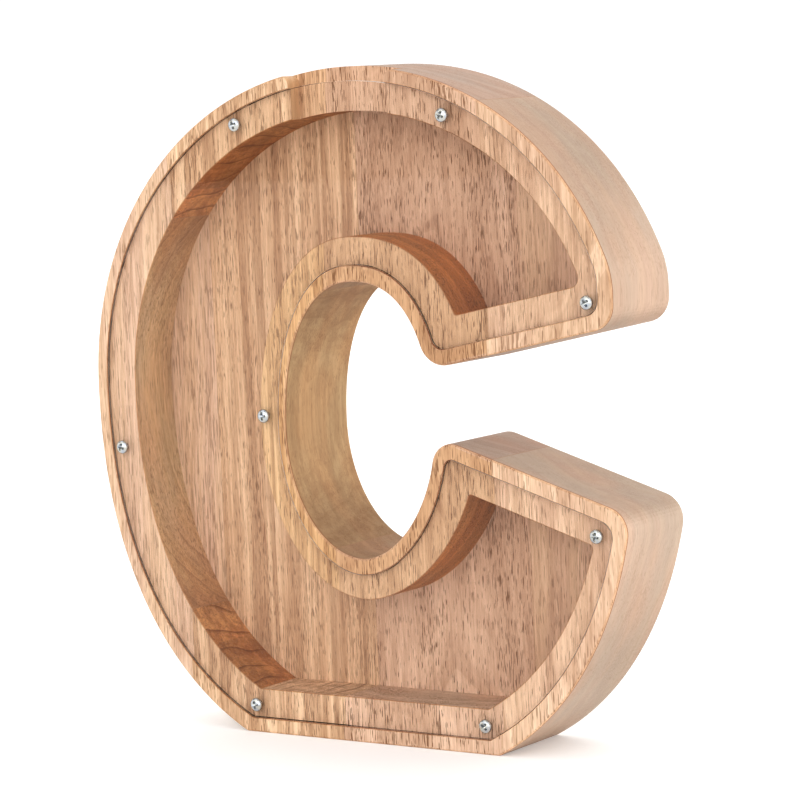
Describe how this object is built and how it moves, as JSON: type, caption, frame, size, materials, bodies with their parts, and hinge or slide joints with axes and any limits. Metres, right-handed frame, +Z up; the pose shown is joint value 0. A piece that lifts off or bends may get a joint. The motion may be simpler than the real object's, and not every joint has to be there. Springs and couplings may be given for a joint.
{
  "type": "money box",
  "caption": "Free-standing wooden money box shaped like a chunky letter C, with a coin slot in the top and a clear screwed-on front window.",
  "frame": {"origin": "on the ground under the middle of the box", "axes": "+Z up, the window faces -Y, the mouth of the C opens towards +X"},
  "size_m": [0.1976, 0.0355, 0.21],
  "materials": {
    "wood": "sanded and clear oiled",
    "window": "clear acrylic",
    "screw": "bright zinc"
  },
  "bodies": {
    "box": {"stave_left": "wood", "stave_centre_left": "wood", "stave_centre_right_upper": "wood", "stave_centre_right_lower": "wood", "stave_right_upper": "wood", "stave_right_lower": "wood"},
    "window": {"front_window": "window"},
    "screw_top_left": {"window_screw_top_left": "screw"},
    "screw_top_right": {"window_screw_top_right": "screw"},
    "screw_upper_arm": {"window_screw_upper_arm": "screw"},
    "screw_lower_arm": {"window_screw_lower_arm": "screw"},
    "screw_bottom_right": {"window_screw_bottom_right": "screw"},
    "screw_bottom_left": {"window_screw_bottom_left": "screw"},
    "screw_left": {"window_screw_left": "screw"},
    "screw_ring": {"window_screw_ring": "screw"}
  },
  "joints": [
    {"name": "window_lift", "type": "slide", "parent": "box", "child": "window", "axis": [0, -1, 0], "range_m": [0, 0.04]},
    {"name": "screw_top_left_out", "type": "slide", "parent": "window", "child": "screw_top_left", "axis": [0, -1, 0], "range_m": [0, 0.008]},
    {"name": "screw_top_right_out", "type": "slide", "parent": "window", "child": "screw_top_right", "axis": [0, -1, 0], "range_m": [0, 0.008]},
    {"name": "screw_upper_arm_out", "type": "slide", "parent": "window", "child": "screw_upper_arm", "axis": [0, -1, 0], "range_m": [0, 0.008]},
    {"name": "screw_lower_arm_out", "type": "slide", "parent": "window", "child": "screw_lower_arm", "axis": [0, -1, 0], "range_m": [0, 0.008]},
    {"name": "screw_bottom_right_out", "type": "slide", "parent": "window", "child": "screw_bottom_right", "axis": [0, -1, 0], "range_m": [0, 0.008]},
    {"name": "screw_bottom_left_out", "type": "slide", "parent": "window", "child": "screw_bottom_left", "axis": [0, -1, 0], "range_m": [0, 0.008]},
    {"name": "screw_left_out", "type": "slide", "parent": "window", "child": "screw_left", "axis": [0, -1, 0], "range_m": [0, 0.008]},
    {"name": "screw_ring_out", "type": "slide", "parent": "window", "child": "screw_ring", "axis": [0, -1, 0], "range_m": [0, 0.008]}
  ]
}
